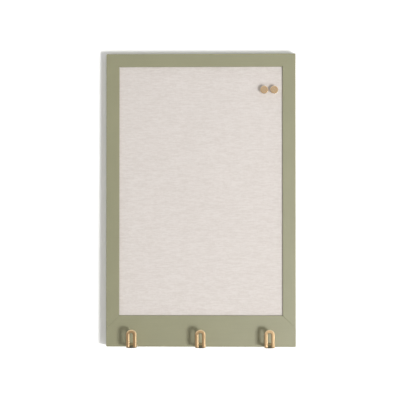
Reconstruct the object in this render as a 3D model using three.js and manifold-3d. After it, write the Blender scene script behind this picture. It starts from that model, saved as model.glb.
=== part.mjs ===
// A wall board in the manner of a French memo board: a painted wooden frame, mitred at its corners,
// round a linen-covered pin panel. Three cast arch hooks stand out from the deep bottom rail.
// Two turned push pins stand in the linen, and the back has ring hangers and rubber bumpers.
// Units are millimetres. +X is to the right, +Z is up, and the front faces -Y.
// The origin is the centre of the top rail's back face.

import * as THREE from "three";
import { mergeVertices } from "three/addons/utils/BufferGeometryUtils.js";
import Module from "manifold-3d";

const wasm = await Module();
wasm.setup();

// Frame
const boardWidth = 280;
const boardHeight = 433;
const frameDepth = 16;
const stileFace = 19.3; // also the top rail's
const bottomRailFace = 46.1;
const edgeRadius = 1.3; // both front edges of every rail
const lipThickness = 2.7; // the lip that the panel lies behind
const rebateWidth = 6;

// Clearances
const pocketGap = 0.3; // round a fastener in its pocket, and between the lip and the linen
const layerGap = 0.1; // between the layers of the panel
const runningGap = 0.1; // round a needle or a wire that moves in its hole
const panelPlay = 1; // round the panel in the rebate
const overrun = 1; // how far a cutter runs past what it cuts

// Panel
const clothThickness = 0.8;
const clothHem = 15; // turned over onto the back of the core
const coreThickness = 7.5;
const backingThickness = 1.5;

// Corner nails: bent strips, driven in from behind across each mitre
const nailThickness = 0.5;
const nailArm = 4.2;
const nailHeight = 8;
const nailSink = 0.4;
const nailPlaceShares = [0.1, 0.54]; // of the back strip, from the rebate outwards

// Flat points that hold the backing in the rebate
const pointWidth = 8;
const pointLength = 14;
const pointThickness = 0.5;
const pointDrivenShare = 0.45; // of its length, in the wood
const pointShoulderShare = 0.28; // of its length, where its sides run in to the tip
const pointAlongShares = [0.22, 0.78]; // of the panel's side

// Hooks
const hookInset = 39.2; // from the board's side edges to the outer hooks
const hookAboveEdge = 0.6; // the foot's underside, above the rail's lower edge
const hookBar = 5; // width and depth of a leg, width and height of a foot
const hookCrown = 4.5; // height of the bar over the arch
const hookEdgeRadius = 0.8;
const hookSlot = 5.1; // between the two legs
const hookHeight = 26.5;
const hookProjection = 25.4;
const hookArchRise = 7.1; // outer height of the arch over its legs
const webDrop = 0.6; // the web between the feet lies this much below their tops
const webLift = 0.2; // and this much above their undersides
const webInset = 1.5; // its front's top edge, behind the legs' front
const webSlope = 3.6; // how far its front runs back on the way down
const pegRadius = 1;
const pegLength = 3;
const hookArchSteps = 16; // over the outside of the arch
const hookSlotSteps = 10; // over the inside

// Hook screws and washers
const hookScrewRadius = 1.5;
const hookScrewGrip = 7; // in the hook's foot
const hookScrewHeadRadius = 2.8;
const hookScrewHeadHeight = 2;
const hookScrewTip = 0.5;
const hookScrewTipShare = 0.7; // of the shank's radius, at the chamfered end
const screwHeadRimShare = 0.45; // of a pan head's height, upright at its rim
const screwHeadCrownShare = 0.62; // of a pan head's radius, flat on top
const washerRadius = 3;
const washerThickness = 0.6;

// Push pins
const pinInsets = [27.1, 12.4]; // from the opening's right side
const pinBelowOpening = 34.7; // from the opening's top
const pinDiscRadius = 5.9;
const pinHeight = 8;
const pinNeedleRadius = 0.5;
const pinNeedleLength = 7.2; // outside the head
const pinNeedleGrip = 4.5; // inside the head
const pinTip = 2.2;

// Ring hangers
const hangerBelowTop = 118;
const strapThickness = 0.8;
const strapWidth = 7;
const strapLength = 12; // from the eye's centre to the rounded end
const eyeCurl = Math.PI * 1.1; // how far round the wire the strap's end is rolled
const ringWireRadius = 0.9;
const ringWidth = 10.7; // centre line to centre line
const ringHeight = 10.5; // from the eye's centre to the centre line of the bow
const ringCorner = 1.6; // centre-line radius of the two lower corners
const ringButt = 0.6; // gap where the wire's ends meet inside the eye
const ringSteps = 40;
const hangerScrewRadius = 1.5;
const hangerScrewLength = 11; // in the wood
const hangerScrewTip = 3;
const hangerScrewHeadRadius = 2.7;
const hangerScrewHeadHeight = 1.6;
const hangerScrewShare = 0.5; // of the strap's length, from the eye, so the ring drops round its head

// Bumpers
const bumperRadius = 4.8;
const bumperHeight = 3.8;
const bumperInset = 12; // from both edges of the board
const bumperWallShare = 0.2; // of its height, below the dome

// Faces on round forms
const wireSides = 10;
const screwSides = 16;
const turnedSides = 24;
const holeSides = 20;
const arcSteps = 2; // a quarter of a round edge takes twice this
const domeSteps = 5;

const quarter = Math.PI / 2;

// Places
const backStrip = stileFace - rebateWidth;
const top = backStrip / 2;
const bottom = top - boardHeight;
const half = boardWidth / 2;
const front = -frameDepth;
const openingHalf = half - stileFace;
const openingTop = top - stileFace;
const openingBottom = bottom + bottomRailFace;
const lipBack = front + lipThickness;
const clothFront = lipBack + pocketGap;
const coreFront = clothFront + clothThickness + layerGap;
const coreBack = coreFront + coreThickness;
const clothBack = coreBack + layerGap + clothThickness;
const backingFront = clothBack + layerGap;
const backingBack = backingFront + backingThickness;
const pointFront = backingBack + layerGap;
const pointBack = pointFront + pointThickness;
const rebateHalf = openingHalf + rebateWidth;
const rebateTop = openingTop + rebateWidth;
const rebateBottom = openingBottom - rebateWidth;
const footZ = bottom + hookAboveEdge + hookBar / 2;
const hookPitch = half - hookInset;
const hookHalf = (hookSlot + hookBar) / 2; // centre line of a leg, from the hook's middle
const hookFront = front - hookProjection;
const hookLegBack = hookFront + hookBar;
const footTop = footZ + hookBar / 2;
const footBottom = footZ - hookBar / 2;
const pinPlaces = pinInsets.map((inset) => openingHalf - inset);
const pinZ = openingTop - pinBelowOpening;
const hangerX = half - backStrip / 2;
const hangerZ = top - hangerBelowTop;
const eyeRadius = ringWireRadius + runningGap;
const eyeY = strapThickness + eyeRadius;
const strapScrewDrop = -strapLength * hangerScrewShare; // below the eye

// Materials
const paint = (name, color, roughness, metalness) =>
  Object.assign(new THREE.MeshStandardMaterial({ color, roughness, metalness }), { name });
const sagePaint = paint("sage_satin_paint", 0xa09f85, 0.5, 0);
const linen = paint("linen", 0xe0d8d3, 0.95, 0);
const fibreboard = paint("fibreboard", 0xb89f7c, 0.9, 0);
const greyBoard = paint("grey_board", 0x8f8a80, 0.9, 0);
const satinBrass = paint("satin_brass", 0xcfa878, 0.35, 1);
const steel = paint("zinc_plated_steel", 0xb9bcbf, 0.35, 1);
const rubber = paint("rubber", 0x2c2b2a, 0.85, 0);

// Solids

function solid(geometry) {
  const bare = geometry.clone();
  bare.deleteAttribute("normal");
  bare.deleteAttribute("uv");
  const merged = mergeVertices(bare, 1e-4);
  const made = new wasm.Manifold(
    new wasm.Mesh({
      numProp: 3,
      vertProperties: new Float32Array(merged.attributes.position.array),
      triVerts: new Uint32Array(merged.index.array),
    }),
  );
  return made;
}

function geometryOf(body) {
  const mesh = body.getMesh();
  const geometry = new THREE.BufferGeometry();
  geometry.setAttribute("position", new THREE.BufferAttribute(mesh.vertProperties, mesh.numProp));
  geometry.setIndex(new THREE.BufferAttribute(mesh.triVerts, 1));
  geometry.computeVertexNormals();
  return geometry;
}

function polygon(points) {
  return new THREE.Shape(points.map(([x, y]) => new THREE.Vector2(x, y)));
}

const frontView = new THREE.Matrix4().makeBasis(
  new THREE.Vector3(1, 0, 0),
  new THREE.Vector3(0, 0, 1),
  new THREE.Vector3(0, -1, 0),
);

// An outline seen from the front, in x and z, made solid from yBack forward to yFront.
function slab(shape, yBack, yFront) {
  const geometry = new THREE.ExtrudeGeometry(shape, {
    depth: yBack - yFront,
    bevelEnabled: false,
    curveSegments: arcSteps * 2,
  });
  return solid(geometry.applyMatrix4(frontView.clone().setPosition(0, yBack, 0)));
}

function block(xLow, xHigh, yFront, yBack, zLow, zHigh) {
  const box = new THREE.BoxGeometry(xHigh - xLow, yBack - yFront, zHigh - zLow);
  box.translate((xLow + xHigh) / 2, (yFront + yBack) / 2, (zLow + zHigh) / 2);
  return solid(box);
}

// A round bar or a cutter along Y.
function rod(radius, yFront, yBack, x, z, sides = holeSides) {
  const bar = new THREE.CylinderGeometry(radius, radius, yBack - yFront, sides);
  return solid(bar.translate(x, (yFront + yBack) / 2, z));
}

// A form turned about the Y axis. Its profile runs along +Y from axis to axis, as [radius, y].
function turned(profile, sides) {
  const points = profile.map(([radius, along]) => new THREE.Vector2(radius, along));
  return solid(new THREE.LatheGeometry(points, sides));
}

function mesh(name, geometry, material, place = [0, 0, 0]) {
  const made = new THREE.Mesh(geometry, material);
  made.name = name;
  made.position.set(...place);
  return made;
}

function group(place, ...pieces) {
  const made = new THREE.Group();
  made.position.set(...place);
  return made.add(...pieces);
}

// Frame

// One length of the frame's moulding, round at both front edges and rebated behind its lip.
// u runs from the outer edge inwards and v from the back forwards.
function moulding(face, length, matrix) {
  const inner = face - rebateWidth;
  const level = frameDepth - edgeRadius;
  const outline = new THREE.Shape();
  outline.moveTo(0, 0);
  outline.lineTo(0, level);
  outline.absarc(edgeRadius, level, edgeRadius, 2 * quarter, quarter, true);
  outline.lineTo(face - edgeRadius, frameDepth);
  outline.absarc(face - edgeRadius, level, edgeRadius, quarter, 0, true);
  outline.lineTo(face, frameDepth - lipThickness);
  outline.lineTo(inner, frameDepth - lipThickness);
  outline.lineTo(inner, 0);
  outline.closePath();
  const bar = new THREE.ExtrudeGeometry(outline, {
    depth: length,
    bevelEnabled: false,
    curveSegments: arcSteps,
  });
  return solid(bar.translate(0, 0, -length / 2).applyMatrix4(matrix));
}

// Takes the front corner off one of the bottom rail's square ends, as round as its long edges.
function endRounding(matrix) {
  const level = frameDepth - edgeRadius;
  const outline = new THREE.Shape();
  outline.moveTo(-overrun, frameDepth + overrun);
  outline.lineTo(-overrun, level);
  outline.lineTo(0, level);
  outline.absarc(edgeRadius, level, edgeRadius, 2 * quarter, quarter, true);
  outline.lineTo(edgeRadius, frameDepth + overrun);
  outline.closePath();
  const bar = new THREE.ExtrudeGeometry(outline, {
    depth: boardHeight,
    bevelEnabled: false,
    curveSegments: arcSteps,
  });
  return solid(bar.translate(0, 0, -boardHeight / 2).applyMatrix4(matrix));
}

function placed(across, forward, along, x, z) {
  return new THREE.Matrix4().makeBasis(across, forward, along).setPosition(x, 0, z);
}

const right = new THREE.Vector3(1, 0, 0);
const up = new THREE.Vector3(0, 0, 1);
const ahead = new THREE.Vector3(0, -1, 0);
const left = right.clone().negate();
const down = up.clone().negate();
const back = ahead.clone().negate();

// A corner is the mitre line from the opening's corner out to the board's side edge.
const corners = [
  { name: "top_left", side: -1, rise: 1, start: openingTop },
  { name: "top_right", side: 1, rise: 1, start: openingTop },
  { name: "bottom_left", side: -1, rise: -1, start: openingBottom },
  { name: "bottom_right", side: 1, rise: -1, start: openingBottom },
];

// What one side of a mitre line takes off the piece that ends there.
function mitreWedge(corner, forStile) {
  const inner = [corner.side * (openingHalf - overrun), corner.start - corner.rise * overrun];
  const outer = [
    corner.side * (half + overrun),
    corner.start + corner.rise * (stileFace + overrun),
  ];
  const third = forStile ? [inner[0], outer[1]] : [outer[0], inner[1]];
  return slab(polygon([inner, outer, third]), overrun, front - overrun);
}

// A corner nail's outline: two arms along X and Z from an elbow on the mitre line.
function nailOutline(corner, share, gap) {
  const out = backStrip * share;
  const x = corner.side * (rebateHalf + out);
  const z = corner.start + corner.rise * (rebateWidth + out);
  const at = (alongX, alongZ) => [x + corner.side * alongX, z + corner.rise * alongZ];
  const near = -nailThickness / 2 - gap;
  const far = nailThickness / 2 + gap;
  const end = nailArm + gap;
  return polygon([
    at(near, near),
    at(end, near),
    at(end, far),
    at(far, far),
    at(far, end),
    at(near, end),
  ]);
}

const nails = corners.flatMap((corner) =>
  nailPlaceShares.map((share, i) => ({
    name: `corner_nail_${corner.name}_${i + 1}`,
    body: slab(nailOutline(corner, share, 0), -nailSink, -nailSink - nailHeight),
    pocket: slab(
      nailOutline(corner, share, pocketGap),
      overrun,
      -nailSink - nailHeight - pocketGap,
    ),
  })),
);

// A flat point: its outline runs across the rebate's edge, its driven end in the wood.
// away is the direction from the panel out to the rail.
function pointOutline(x, z, away, gap) {
  const tip = pointLength * pointDrivenShare + gap;
  const tail = pointLength * (1 - pointDrivenShare) + gap;
  const shoulder = pointLength * pointShoulderShare;
  const side = pointWidth / 2 + gap;
  const at = (out, along) => [
    x + away.x * out + away.z * along,
    z + away.z * out + away.x * along,
  ];
  return polygon([
    at(tip, 0),
    at(tip - shoulder, side),
    at(shoulder - tail, side),
    at(-tail, 0),
    at(shoulder - tail, -side),
    at(tip - shoulder, -side),
  ]);
}

function pointAt(name, x, z, away) {
  return {
    name,
    body: slab(pointOutline(x, z, away, 0), pointBack, pointFront),
    pocket: slab(pointOutline(x, z, away, pocketGap), pointBack + pocketGap, pointFront - pocketGap),
  };
}

const panelSpanX = 2 * rebateHalf;
const panelSpanZ = rebateTop - rebateBottom;
const points = pointAlongShares.flatMap((share, i) => {
  const x = -rebateHalf + panelSpanX * share;
  const z = rebateTop - panelSpanZ * share;
  return [
    pointAt(`backing_point_top_${i + 1}`, x, rebateTop, { x: 0, z: 1 }),
    pointAt(`backing_point_bottom_${i + 1}`, x, rebateBottom, { x: 0, z: -1 }),
    pointAt(`backing_point_left_${i + 1}`, -rebateHalf, z, { x: -1, z: 0 }),
    pointAt(`backing_point_right_${i + 1}`, rebateHalf, z, { x: 1, z: 0 }),
  ];
});

const hookPlaces = [
  { name: "left", x: -hookPitch },
  { name: "middle", x: 0 },
  { name: "right", x: hookPitch },
];

// The rail's holes for a hook's screw and its two pegs.
function hookHoles(x) {
  const screwHole = rod(hookScrewRadius + pocketGap, front - overrun, overrun, x, footZ);
  return [-hookHalf, hookHalf].reduce(
    (holes, side) =>
      holes.add(
        rod(pegRadius + pocketGap, front - overrun, front + pegLength + pocketGap, x + side, footZ),
      ),
    screwHole,
  );
}

function hangerHole(side) {
  const radius = hangerScrewRadius + runningGap;
  const depth = hangerScrewLength + pocketGap;
  return rod(radius, -depth, overrun, side * hangerX, hangerZ + strapScrewDrop);
}

function less(body, cutters) {
  return cutters.reduce((rest, cutter) => rest.subtract(cutter), body);
}

const pockets = [...nails, ...points].map((fastener) => fastener.pocket);

function rail(name, face, length, matrix, cutters) {
  const body = less(moulding(face, length, matrix), [...cutters, ...pockets]);
  return mesh(name, geometryOf(body), sagePaint);
}

function frame() {
  const stileEnd = openingBottom - stileFace;
  const stileLength = top - stileEnd;
  const stileMiddle = (top + stileEnd) / 2;
  const wedgesFor = (test, forStile) =>
    corners.filter(test).map((corner) => mitreWedge(corner, forStile));
  const topWedges = wedgesFor((corner) => corner.rise > 0, false);
  const bottomWedges = wedgesFor((corner) => corner.rise < 0, false);
  const leftWedges = wedgesFor((corner) => corner.side < 0, true);
  const rightWedges = wedgesFor((corner) => corner.side > 0, true);
  const holes = hookPlaces.map((hook) => hookHoles(hook.x));
  const bottomPlace = placed(up, ahead, right, 0, bottom);
  const leftPlace = placed(right, ahead, down, -half, stileMiddle);
  const rightPlace = placed(left, ahead, up, half, stileMiddle);
  const endRounds = [leftPlace, rightPlace].map(endRounding);
  const bottomCutters = [...bottomWedges, ...endRounds, ...holes];
  return [
    rail("top_rail", stileFace, boardWidth, placed(down, ahead, left, 0, top), topWedges),
    rail("bottom_rail", bottomRailFace, boardWidth, bottomPlace, bottomCutters),
    rail("left_stile", stileFace, stileLength, leftPlace, [...leftWedges, hangerHole(-1)]),
    rail("right_stile", stileFace, stileLength, rightPlace, [...rightWedges, hangerHole(1)]),
  ];
}

// Panel

const needleHole = (x) =>
  rod(
    pinNeedleRadius + runningGap,
    clothFront - overrun,
    clothFront + pinNeedleLength + runningGap,
    x,
    pinZ,
    wireSides,
  );

function panel() {
  const clothX = rebateHalf - panelPlay;
  const clothTop = rebateTop - panelPlay;
  const clothBottom = rebateBottom + panelPlay;
  const skin = clothThickness + layerGap;
  const coreX = clothX - skin;
  const window = clothX - clothHem;
  const holes = pinPlaces.map(needleHole);
  const hollow = block(
    -coreX - layerGap,
    coreX + layerGap,
    coreFront - layerGap,
    coreBack + layerGap,
    clothBottom + clothThickness,
    clothTop - clothThickness,
  );
  const backWindow = block(
    -window,
    window,
    coreBack,
    clothBack + overrun,
    clothBottom + clothHem,
    clothTop - clothHem,
  );
  const cloth = block(-clothX, clothX, clothFront, clothBack, clothBottom, clothTop);
  const core = block(-coreX, coreX, coreFront, coreBack, clothBottom + skin, clothTop - skin);
  const backing = block(-clothX, clothX, backingFront, backingBack, clothBottom, clothTop);
  return [
    mesh("linen_cover", geometryOf(less(cloth, [hollow, backWindow, ...holes])), linen),
    mesh("panel_core", geometryOf(less(core, holes)), fibreboard),
    mesh("backing_board", geometryOf(backing), greyBoard),
  ];
}

// Hooks

class Arc extends THREE.Curve {
  constructor(centre, across, along, from, to) {
    super();
    Object.assign(this, { centre, across, along, from, to });
  }
  getPoint(t, target = new THREE.Vector3()) {
    const angle = THREE.MathUtils.lerp(this.from, this.to, t);
    return target
      .copy(this.centre)
      .addScaledVector(this.across, Math.cos(angle))
      .addScaledVector(this.along, Math.sin(angle));
  }
}

// Straight and round stretches joined end to end.
function joined(...curves) {
  const path = new THREE.CurvePath();
  curves.forEach((curve) => path.add(curve));
  return path;
}

// Points on half an ellipse about the hook's middle, from its right over its top to its left.
function archPoints(halfWidth, rise, spring, steps) {
  return Array.from({ length: steps + 1 }, (_, i) => {
    const angle = (2 * quarter * i) / steps;
    return [halfWidth * Math.cos(angle), spring + rise * Math.sin(angle)];
  });
}

// The two legs and the arch over them, round at all their long edges.
function archBody() {
  const inner = hookSlot / 2;
  const outer = inner + hookBar;
  const spring = footBottom + hookHeight - hookArchRise;
  const outline = polygon([
    [inner, footZ],
    [outer, footZ],
    ...archPoints(outer, hookArchRise, spring, hookArchSteps),
    [-outer, footZ],
    [-inner, footZ],
    ...archPoints(inner, hookArchRise - hookCrown, spring, hookSlotSteps).reverse(),
  ]);
  const slabOfBar = new THREE.ExtrudeGeometry(outline, {
    depth: hookBar - 2 * hookEdgeRadius,
    bevelThickness: hookEdgeRadius,
    bevelSize: hookEdgeRadius,
    bevelOffset: -hookEdgeRadius,
    bevelSegments: 2,
  });
  const place = frontView.clone().setPosition(0, hookLegBack - hookEdgeRadius, 0);
  return solid(slabOfBar.applyMatrix4(place));
}

// One foot, from the rail to the leg's front, round at its edges and corners.
function footBody(x) {
  const ball = wasm.Manifold.sphere(hookEdgeRadius, 8);
  const reach = hookBar / 2 - hookEdgeRadius;
  const heel = rod(hookEdgeRadius, front - overrun, front, 0, 0, 8);
  const corners = [-reach, reach].flatMap((across) =>
    [-reach, reach].flatMap((above) => [
      ball.translate([x + across, hookFront + hookEdgeRadius, footZ + above]),
      heel.translate([x + across, 0, footZ + above]),
    ]),
  );
  return wasm.Manifold.hull(corners);
}

// The web that joins the feet. Its front slopes back on the way down.
function webBody() {
  const low = footBottom + webLift;
  const high = footTop - webDrop;
  const side = new THREE.Shape();
  side.moveTo(-front, low);
  side.lineTo(-front, high);
  side.lineTo(-hookFront - webInset, high);
  side.lineTo(-hookFront - webInset - webSlope, low);
  side.closePath();
  const web = new THREE.ExtrudeGeometry(side, { depth: 2 * hookHalf, bevelEnabled: false });
  const sideView = new THREE.Matrix4().makeBasis(ahead, up, left);
  return solid(web.applyMatrix4(sideView.setPosition(hookHalf, 0, 0)));
}

function hookBody() {
  const feet = [-hookHalf, hookHalf].map(footBody);
  const pegs = [-hookHalf, hookHalf].map((x) =>
    rod(pegRadius, front - overrun, front + pegLength, x, footZ, wireSides),
  );
  const tappedEnd = front - hookScrewGrip - pocketGap;
  const tapped = rod(hookScrewRadius + runningGap, tappedEnd, front + overrun, 0, footZ);
  return [...feet, webBody(), ...pegs]
    .reduce((whole, piece) => whole.add(piece), archBody())
    .subtract(tapped);
}

// A pan-head screw along Y that points forward, its head seated at y = 0.
function screwBody(radius, length, tipLength, tipRadius, headRadius, headHeight) {
  const profile = [
    [0, -length],
    [tipRadius, -length],
    [radius, tipLength - length],
    [radius, 0],
    [headRadius, 0],
    [headRadius, headHeight * screwHeadRimShare],
    [headRadius * screwHeadCrownShare, headHeight],
    [0, headHeight],
  ];
  return turned(tipRadius > 0 ? profile : profile.slice(1), screwSides);
}

function washerBody() {
  const hole = rod(hookScrewRadius + pocketGap, -overrun, washerThickness + overrun, 0, 0);
  return rod(washerRadius, 0, washerThickness, 0, 0).subtract(hole);
}

function hooks() {
  const hook = geometryOf(hookBody());
  const washer = geometryOf(washerBody());
  const screw = geometryOf(
    screwBody(
      hookScrewRadius,
      washerThickness + frameDepth + hookScrewGrip,
      hookScrewTip,
      hookScrewRadius * hookScrewTipShare,
      hookScrewHeadRadius,
      hookScrewHeadHeight,
    ),
  );
  return hookPlaces.flatMap(({ name, x }) => [
    mesh(`hook_${name}`, hook, satinBrass, [x, 0, 0]),
    mesh(`hook_washer_${name}`, washer, steel, [x, 0, footZ]),
    mesh(`hook_screw_${name}`, screw, steel, [x, washerThickness, footZ]),
  ]);
}

// Push pins

// The turned head: [share of the disc's radius, share of the height above the linen].
const pinHeadShares = [
  [0, 1],
  [0.9, 1],
  [0.98, 0.975],
  [1, 0.93],
  [1, 0.84],
  [0.94, 0.8],
  [0.6, 0.72],
  [0.48, 0.62],
  [0.44, 0.46],
  [0.48, 0.3],
  [0.6, 0.2],
  [0.7, 0.15],
  [0.72, 0.06],
  [0.68, 0],
  [0, 0],
];

function pinHeadBody() {
  const profile = pinHeadShares.map(([across, above]) => [
    pinDiscRadius * across,
    -pinHeight * above,
  ]);
  const bore = rod(
    pinNeedleRadius + layerGap,
    -pinNeedleGrip - layerGap,
    overrun,
    0,
    0,
    wireSides,
  );
  return turned(profile, turnedSides).subtract(bore);
}

function needleBody() {
  const profile = [
    [0, -pinNeedleGrip],
    [pinNeedleRadius, -pinNeedleGrip],
    [pinNeedleRadius, pinNeedleLength - pinTip],
    [0, pinNeedleLength],
  ];
  return turned(profile, wireSides);
}

function pins() {
  const head = geometryOf(pinHeadBody());
  const needle = geometryOf(needleBody());
  return ["left", "right"].map((name, i) =>
    group(
      [pinPlaces[i], clothFront - layerGap, pinZ],
      mesh(`pin_head_${name}`, head, satinBrass),
      mesh(`pin_needle_${name}`, needle, steel),
    ),
  );
}

// Ring hangers

// A strap with its end rolled into an eye round the ring's wire. The eye's centre is at z = 0.
function strapBody() {
  const eyeOuter = eyeRadius + strapThickness;
  const section = new THREE.Shape();
  section.moveTo(-strapLength, 0);
  section.absarc(0, eyeY, eyeOuter, -quarter, eyeCurl, false);
  section.absarc(0, eyeY, eyeRadius, eyeCurl, -quarter, true);
  section.lineTo(-strapLength, strapThickness);
  section.closePath();
  const strip = new THREE.ExtrudeGeometry(section, {
    depth: strapWidth,
    bevelEnabled: false,
    curveSegments: arcSteps * 4,
  });
  strip.applyMatrix4(placed(up, back, left, strapWidth / 2, 0));
  const plan = new THREE.Shape();
  const side = strapWidth / 2;
  plan.moveTo(side, eyeOuter + overrun);
  plan.lineTo(-side, eyeOuter + overrun);
  plan.absarc(0, side - strapLength, side, 2 * quarter, 4 * quarter, false);
  plan.closePath();
  const hole = rod(
    hangerScrewRadius + pocketGap,
    -overrun,
    strapThickness + overrun,
    0,
    strapScrewDrop,
  );
  const outline = slab(plan, eyeY + eyeOuter + overrun, -overrun);
  return solid(strip).intersect(outline).subtract(hole);
}

function swept(outline, path, steps) {
  return solid(
    new THREE.ExtrudeGeometry(outline, { steps, extrudePath: path, curveSegments: 1 }),
  );
}

// The ring, bent from wire whose ends meet inside the eye, standing up from its axis at z = 0.
function ringBody() {
  const side = ringWidth / 2;
  const spring = ringHeight - side;
  const at = (x, z) => new THREE.Vector3(x, 0, z);
  const corner = (x, z) => at(x * ringCorner, z * ringCorner);
  const path = joined(
    new THREE.LineCurve3(at(ringButt / 2, 0), at(side - ringCorner, 0)),
    new Arc(at(side - ringCorner, ringCorner), corner(0, -1), corner(1, 0), 0, quarter),
    new THREE.LineCurve3(at(side, ringCorner), at(side, spring)),
    new Arc(at(0, spring), at(side, 0), at(0, side), 0, Math.PI),
    new THREE.LineCurve3(at(-side, spring), at(-side, ringCorner)),
    new Arc(at(ringCorner - side, ringCorner), corner(-1, 0), corner(0, -1), 0, quarter),
    new THREE.LineCurve3(at(ringCorner - side, 0), at(-ringButt / 2, 0)),
  );
  return swept(regular(ringWireRadius, wireSides), path, ringSteps);
}

function regular(radius, sides) {
  return polygon(
    Array.from({ length: sides }, (_, i) => {
      const angle = (2 * Math.PI * i) / sides;
      return [radius * Math.cos(angle), radius * Math.sin(angle)];
    }),
  );
}

function hangers() {
  const strap = geometryOf(strapBody());
  const ring = geometryOf(ringBody());
  const screw = geometryOf(
    screwBody(
      hangerScrewRadius,
      strapThickness + hangerScrewLength,
      hangerScrewTip,
      0,
      hangerScrewHeadRadius,
      hangerScrewHeadHeight,
    ),
  );
  return [
    ["left", -hangerX],
    ["right", hangerX],
  ].map(([name, x]) =>
    group(
      [x, 0, hangerZ],
      mesh(`hanger_strap_${name}`, strap, steel),
      mesh(`hanger_ring_${name}`, ring, steel, [0, eyeY, 0]),
      mesh(`hanger_screw_${name}`, screw, steel, [0, strapThickness, strapScrewDrop]),
    ),
  );
}

// Bumpers

function bumperBody() {
  const wall = bumperHeight * bumperWallShare;
  const dome = Array.from({ length: domeSteps }, (_, i) => {
    const angle = (quarter * i) / domeSteps;
    return [bumperRadius * Math.cos(angle), wall + (bumperHeight - wall) * Math.sin(angle)];
  });
  return turned([[0, 0], [bumperRadius, 0], ...dome, [0, bumperHeight]], holeSides);
}

function bumpers() {
  const bumper = geometryOf(bumperBody());
  return [
    ["left", -1],
    ["right", 1],
  ].map(([name, side]) =>
    mesh(`bumper_${name}`, bumper, rubber, [
      side * (half - bumperInset),
      0,
      bottom + bumperInset,
    ]),
  );
}

const board = new THREE.Group();
board.name = "linen_memo_board";
board.add(
  ...frame(),
  ...nails.map(({ name, body }) => mesh(name, geometryOf(body), steel)),
  ...panel(),
  ...points.map(({ name, body }) => mesh(name, geometryOf(body), steel)),
  ...hooks(),
  ...pins(),
  ...hangers(),
  ...bumpers(),
);

export default board;
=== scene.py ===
"""A linen memo board: a painted and mitred wooden frame round a linen-covered pin panel, with three brass
arch hooks on its deep bottom rail and two brass push pins in the linen.

Units are metres. +X is to the right, +Z is up, the front faces -Y, and the wall is behind the board.
"""

import math

import bmesh
import bpy
from mathutils import Euler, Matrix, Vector


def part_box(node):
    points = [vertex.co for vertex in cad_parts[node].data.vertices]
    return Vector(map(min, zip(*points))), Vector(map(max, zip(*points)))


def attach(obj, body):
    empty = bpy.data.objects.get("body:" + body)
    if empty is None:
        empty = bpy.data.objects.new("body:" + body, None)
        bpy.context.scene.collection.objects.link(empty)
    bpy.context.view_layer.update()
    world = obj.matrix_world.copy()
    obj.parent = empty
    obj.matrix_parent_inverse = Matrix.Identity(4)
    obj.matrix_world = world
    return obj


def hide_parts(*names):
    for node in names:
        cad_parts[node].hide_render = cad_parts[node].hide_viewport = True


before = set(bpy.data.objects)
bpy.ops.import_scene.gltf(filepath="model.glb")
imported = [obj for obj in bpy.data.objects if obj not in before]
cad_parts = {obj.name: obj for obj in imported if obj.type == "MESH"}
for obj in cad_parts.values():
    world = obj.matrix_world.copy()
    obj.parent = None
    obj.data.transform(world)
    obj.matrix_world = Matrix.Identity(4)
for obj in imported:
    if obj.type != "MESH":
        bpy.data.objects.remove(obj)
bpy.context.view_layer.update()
mm = 0.001
full_turn = 2 * math.pi
quarter_turn = math.pi / 2
scene = bpy.context.scene

# Frame
EDGE_RADIUS = 1.3 * mm  # the outer front edge of every rail
INNER_EDGE = 0.55  # share of the edge radius, on the edge beside the linen
EDGE_STEPS = 5
LIP = 2.7 * mm  # thickness of the lip that the panel lies behind
REBATE = 6 * mm
CORNER_EASE = 0.5  # share of the edge radius, on the two bottom corners
BACK_EASE = 0.25  # share of the edge radius, on the edges at the back
MITRE_EASE = {"top": 0.05, "bottom_left": 0.1, "bottom_right": 0.22}  # shares of the edge radius
POCKET_GAP = 0.2 * mm  # round a fastener in the wood
SAME_PLACE = 0.001 * mm  # points that are nearer to each other become one
SAME_LEVEL = 0.01 * mm  # a point this near to the deepest one is as deep

# Linen
CLOTH = 0.6 * mm  # thickness
HEM = 15 * mm  # turned over onto the back of the core
FOLD_RADIUS = 1.2 * mm
FOLD_STEPS = 4
SLUB_RELIEF = 0.09 * mm  # height of the thick places in the yarn
SLUB_LENGTH = 22 * mm
SLUB_WIDTH = 1.3 * mm
WAVE_PERIOD = full_turn / 20  # of Blender's wave texture, at a scale of 1
GRID_ACROSS = 3.2 * mm  # spacing of the cloth's points along the weft
GRID_UP = 1.1 * mm  # and along the warp

# Hooks
BAR = 5 * mm  # width and depth of a leg, and width of a foot
FOOT = 2.8 * mm  # height of a foot
CROWN = 4.5 * mm  # height of the bar over the arch
BAR_EDGE = 0.6 * mm  # every edge at the back is cut back by this much, flat
FACET = (1.05 * mm, 0.65 * mm)  # width and depth of the flat facet round the front
CROWN_FACET = 0.3  # share of its width that the facet has under the arch's middle
ARCH_LOW = 0.4 * mm  # the top of the arch lies this much below its solid
BAR_EASE = 0.18 * mm  # radius that polishing leaves beside the flats
ARCH_RISE = 7.1 * mm  # outer height of the arch over its legs
ARCH_STEPS = 32
WEB_RISE = (4.2 * mm, 0.6 * mm)  # the web's top over the feet's undersides, round the screw and in front
WEB_BOSS = 7.4 * mm  # length of the web's level top, over the screw
WEB_BOTTOM = 0.5 * mm  # the web hangs this much below the feet
WEB_REACH = 2.45 * mm  # each way from a hook's middle
WEB_INSET = 1.0 * mm  # its front's top edge, behind the legs' front
WEB_SLOPE = 0.5 * mm  # how far its front runs back on the way down
WEB_EDGE = 0.15 * mm  # radius of its front edges
CUT_ANGLE = 30  # degrees: an edge at the back that turns by more is cut back
EASE_ANGLE = 20  # degrees: an edge that turns by more is eased
SHADE_EDGE = 0.1 * mm  # width over which the painted shade on the web fades out at each side
SHADE_FADE = (0.45, 0.95)  # shares of the web's rise over which the painted shade fades out upwards
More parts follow.
